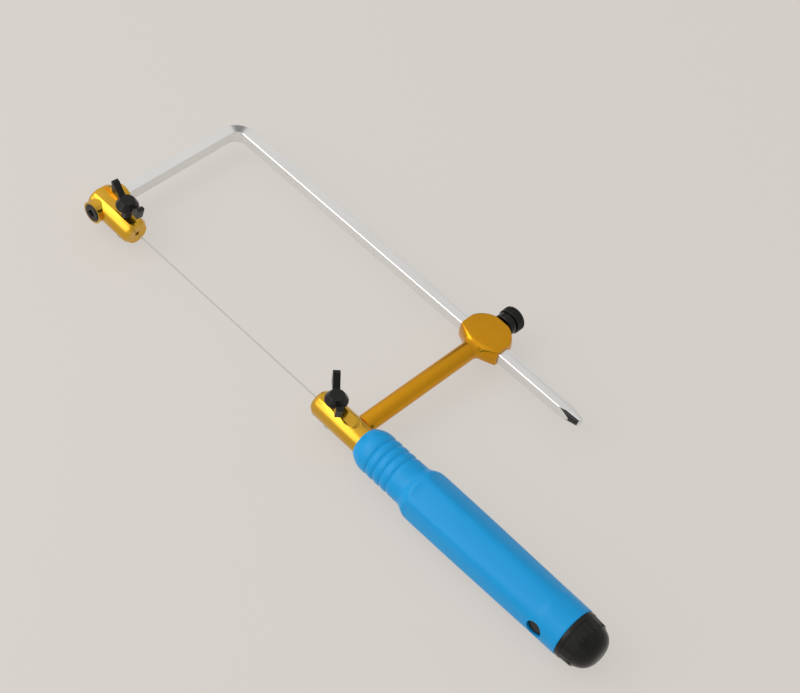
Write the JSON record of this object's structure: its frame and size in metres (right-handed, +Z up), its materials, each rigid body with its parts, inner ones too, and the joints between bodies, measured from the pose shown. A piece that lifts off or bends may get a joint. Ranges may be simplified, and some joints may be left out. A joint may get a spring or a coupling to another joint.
{
  "type": "fret saw",
  "caption": "Hand fret saw: a bent square bar slides in a lock head on a post, wing-screw clamps stretch a thin blade, and a hollow panelled handle has a snap-in end cap.",
  "frame": {"origin": "on the handle's axis, in the middle of the plain round band at the butt", "axes": "+X along the blade and the handle towards the butt, +Y from the blade to the bar, +Z up through the wing screws"},
  "size_m": [0.2678, 0.097, 0.0268],
  "materials": {
    "blue_plastic": "soft sheen, moulded",
    "black_plastic": "satin, moulded",
    "gold_anodised": "bright gold anodised, turned and milled",
    "bar_steel": "polished plating",
    "blade_steel": "dark tempered",
    "black_steel": "black oxide",
    "screw_steel": "bright turned",
    "pad_brass": "turned"
  },
  "bodies": {
    "handle": {"handle_grip": "blue_plastic", "rear_clamp": "gold_anodised", "tang_washer": "screw_steel", "tang_nut": "screw_steel", "slide_post": "gold_anodised", "rear_anvil": "screw_steel"},
    "frame": {"frame_bar": "bar_steel", "front_clamp": "gold_anodised", "socket_screw": "black_steel", "front_anvil": "screw_steel", "blade": "blade_steel"},
    "front_pad": {"front_pad": "pad_brass"},
    "front_screw": {"front_stud": "screw_steel", "front_wing_knob": "black_plastic"},
    "rear_pad": {"rear_pad": "pad_brass"},
    "rear_screw": {"rear_stud": "screw_steel", "rear_wing_knob": "black_plastic"},
    "lock_pad": {"lock_pad": "pad_brass"},
    "lock_screw": {"lock_stud": "screw_steel", "lock_knob": "black_plastic"},
    "end_cap": {"end_cap": "black_plastic"},
    "cap_latch": {"cap_latch": "black_plastic"}
  },
  "joints": [
    {"name": "frame_slide", "type": "slide", "parent": "handle", "child": "frame", "axis": [1, 0, 0], "range_m": [-0.032, 0.08]},
    {"name": "front_pad_lift", "type": "slide", "parent": "frame", "child": "front_pad", "axis": [0, 0, 1], "range_m": [0, 0.0016]},
    {"name": "front_screw_turn", "type": "hinge", "parent": "front_pad", "child": "front_screw", "pos_m": [-0.2321, 0, 0], "axis": [0, 0, 1], "range_deg": [0, 720]},
    {"name": "rear_pad_lift", "type": "slide", "parent": "handle", "child": "rear_pad", "axis": [0, 0, 1], "range_m": [0, 0.0016]},
    {"name": "rear_screw_turn", "type": "hinge", "parent": "rear_pad", "child": "rear_screw", "pos_m": [-0.1156, 0, 0], "axis": [0, 0, 1], "range_deg": [0, 720]},
    {"name": "lock_pad_lift", "type": "slide", "parent": "handle", "child": "lock_pad", "axis": [0, 1, 0], "range_m": [0, 0.0016]},
    {"name": "lock_screw_turn", "type": "hinge", "parent": "lock_pad", "child": "lock_screw", "pos_m": [-0.1049, 0.0795, 0], "axis": [0, 1, 0], "range_deg": [0, 720]},
    {"name": "cap_slide", "type": "slide", "parent": "handle", "child": "end_cap", "axis": [1, 0, 0], "range_m": [0, 0.024]},
    {"name": "latch_press", "type": "slide", "parent": "end_cap", "child": "cap_latch", "axis": [0, 1, 0], "range_m": [0, 0.0026], "stiffness_N_per_m": 1200, "deforming": ["cap_latch"]}
  ],
  "couplings": [
    {"joint": "front_screw_turn", "follows": "front_pad_lift", "rad_per_m": 7854},
    {"joint": "rear_screw_turn", "follows": "rear_pad_lift", "rad_per_m": 7854},
    {"joint": "lock_screw_turn", "follows": "lock_pad_lift", "rad_per_m": 7854}
  ]
}
